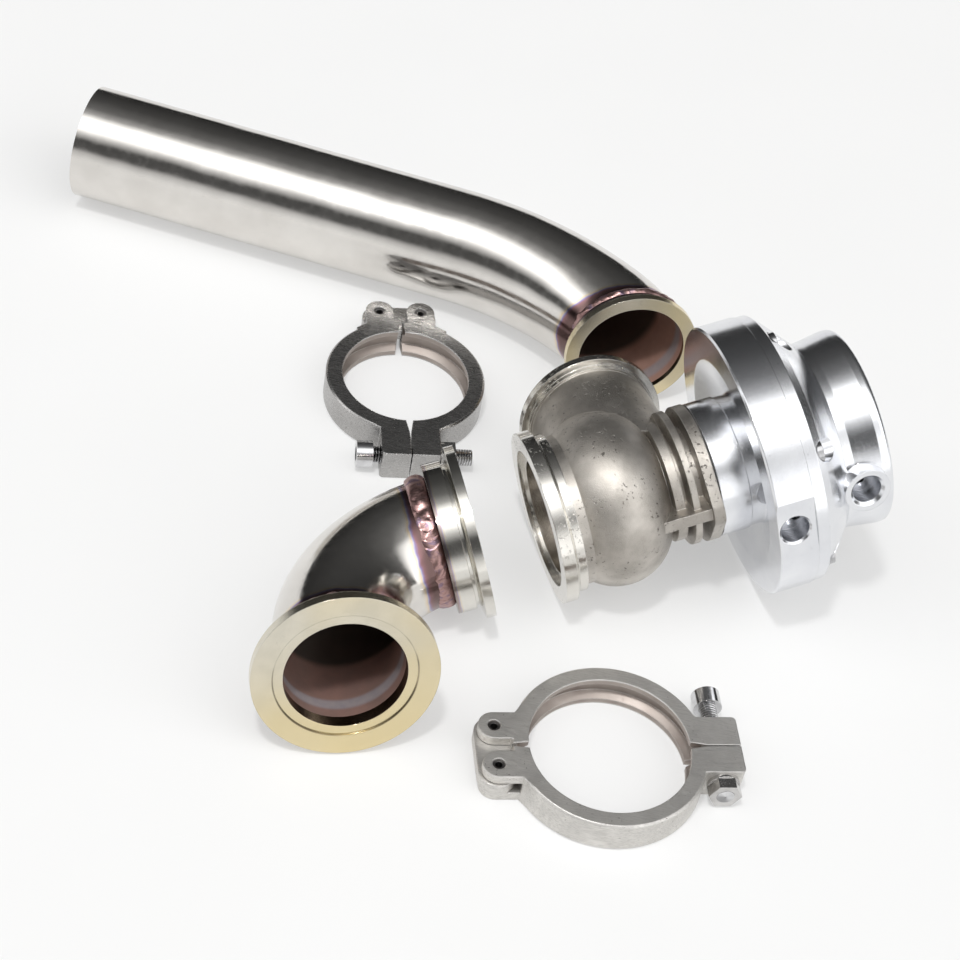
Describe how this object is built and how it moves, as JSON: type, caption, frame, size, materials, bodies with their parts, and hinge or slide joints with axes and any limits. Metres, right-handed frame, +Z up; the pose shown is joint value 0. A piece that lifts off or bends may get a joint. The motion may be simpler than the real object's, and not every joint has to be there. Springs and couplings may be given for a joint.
{
  "type": "turbo wastegate kit",
  "caption": "External wastegate with a diaphragm actuator, laid out with its inlet elbow, bent dump tube and two hinged band clamps.",
  "frame": {"origin": "on the floor, under the middle of the whole layout's bounding box", "axes": "+Z up from the floor the kit lies on; +X along the layout's longer side, towards the actuator; +Y away from the viewer"},
  "size_m": [0.3259, 0.2972, 0.0988],
  "materials": {
    "cast_steel": "bead-blasted investment casting, satin, fine pits",
    "machined_steel": "turned stainless, bright, faint heat straw",
    "polished_tube": "polished stainless, heat tint beside the welds",
    "weld": "rippled bead, purple and brown heat tint",
    "aluminium": "polished machined aluminium",
    "clamp_steel": "satin investment casting",
    "screws": "bright plated steel",
    "pins": "dark rolled spring pin",
    "spring_steel": "dark spring wire",
    "bronze": "plain machined",
    "rubber": "matt, fabric backed",
    "gasket": "matt fibre sheet"
  },
  "bodies": {
    "wastegate": {"valve_body": "cast_steel", "valve_seat": "machined_steel", "guide_bush": "bronze", "gasket": "gasket", "actuator_base": "aluminium", "stem_seal": "rubber", "seal_retainer": "machined_steel", "diaphragm": "rubber", "cap": "aluminium", "cap_screws": "screws", "body_screws": "screws", "outer_spring": "spring_steel", "inner_spring": "spring_steel", "port_plug": "screws"},
    "valve_stem": {"valve": "machined_steel", "lower_plate": "aluminium", "spring_cup": "aluminium", "stem_nut": "screws"},
    "elbow": {"elbow_tube": "polished_tube", "elbow_large_flange": "machined_steel", "elbow_large_weld": "weld", "elbow_small_flange": "machined_steel", "elbow_small_weld": "weld"},
    "dump_pipe": {"dump_tube": "polished_tube", "dump_flange": "machined_steel", "dump_weld": "weld"},
    "outlet_clamp": {"outlet_clamp_nut_half": "clamp_steel", "outlet_clamp_nut_pin": "pins", "outlet_clamp_screw": "screws", "outlet_clamp_nut": "screws"},
    "outlet_clamp_link_bar": {"outlet_clamp_link": "clamp_steel"},
    "outlet_clamp_head": {"outlet_clamp_head_half": "clamp_steel", "outlet_clamp_head_pin": "pins"},
    "inlet_clamp": {"inlet_clamp_nut_half": "clamp_steel", "inlet_clamp_nut_pin": "pins", "inlet_clamp_screw": "screws", "inlet_clamp_nut": "screws"},
    "inlet_clamp_link_bar": {"inlet_clamp_link": "clamp_steel"},
    "inlet_clamp_head": {"inlet_clamp_head_half": "clamp_steel", "inlet_clamp_head_pin": "pins"}
  },
  "joints": [
    {"name": "valve_lift", "type": "slide", "parent": "wastegate", "child": "valve_stem", "axis": [0.8773, 0.4147, 0.2416], "range_m": [0, 0.009], "stiffness_N_per_m": 12000, "springref_m": -0.012, "deforming": ["outer_spring", "inner_spring", "diaphragm"]},
    {"name": "elbow_lift", "type": "slide", "parent": "wastegate", "child": "elbow", "axis": [0, 0, 1], "range_m": [0, 0.12]},
    {"name": "dump_tube_lift", "type": "slide", "parent": "wastegate", "child": "dump_pipe", "axis": [0, 0, 1], "range_m": [0, 0.12]},
    {"name": "outlet_clamp_lift", "type": "slide", "parent": "wastegate", "child": "outlet_clamp", "axis": [0, 0, 1], "range_m": [0, 0.12]},
    {"name": "inlet_clamp_lift", "type": "slide", "parent": "wastegate", "child": "inlet_clamp", "axis": [0, 0, 1], "range_m": [0, 0.12]},
    {"name": "outlet_clamp_link_pivot", "type": "hinge", "parent": "outlet_clamp", "child": "outlet_clamp_link_bar", "pos_m": [-0.01615, 0.07625, 0.00625], "axis": [0, 0, -1], "range_deg": [0, 1]},
    {"name": "outlet_clamp_half_pivot", "type": "hinge", "parent": "outlet_clamp_link_bar", "child": "outlet_clamp_head", "pos_m": [-0.03164, 0.07267, 0.00625], "axis": [0, 0, -1], "range_deg": [0, 1]},
    {"name": "inlet_clamp_link_pivot", "type": "hinge", "parent": "inlet_clamp", "child": "inlet_clamp_link_bar", "pos_m": [0.04413, -0.13229, 0.00625], "axis": [0, 0, 1], "range_deg": [0, 1.3]},
    {"name": "inlet_clamp_half_pivot", "type": "hinge", "parent": "inlet_clamp_link_bar", "child": "inlet_clamp_head", "pos_m": [0.04029, -0.11686, 0.00625], "axis": [0, 0, 1], "range_deg": [0, 1.3]}
  ]
}
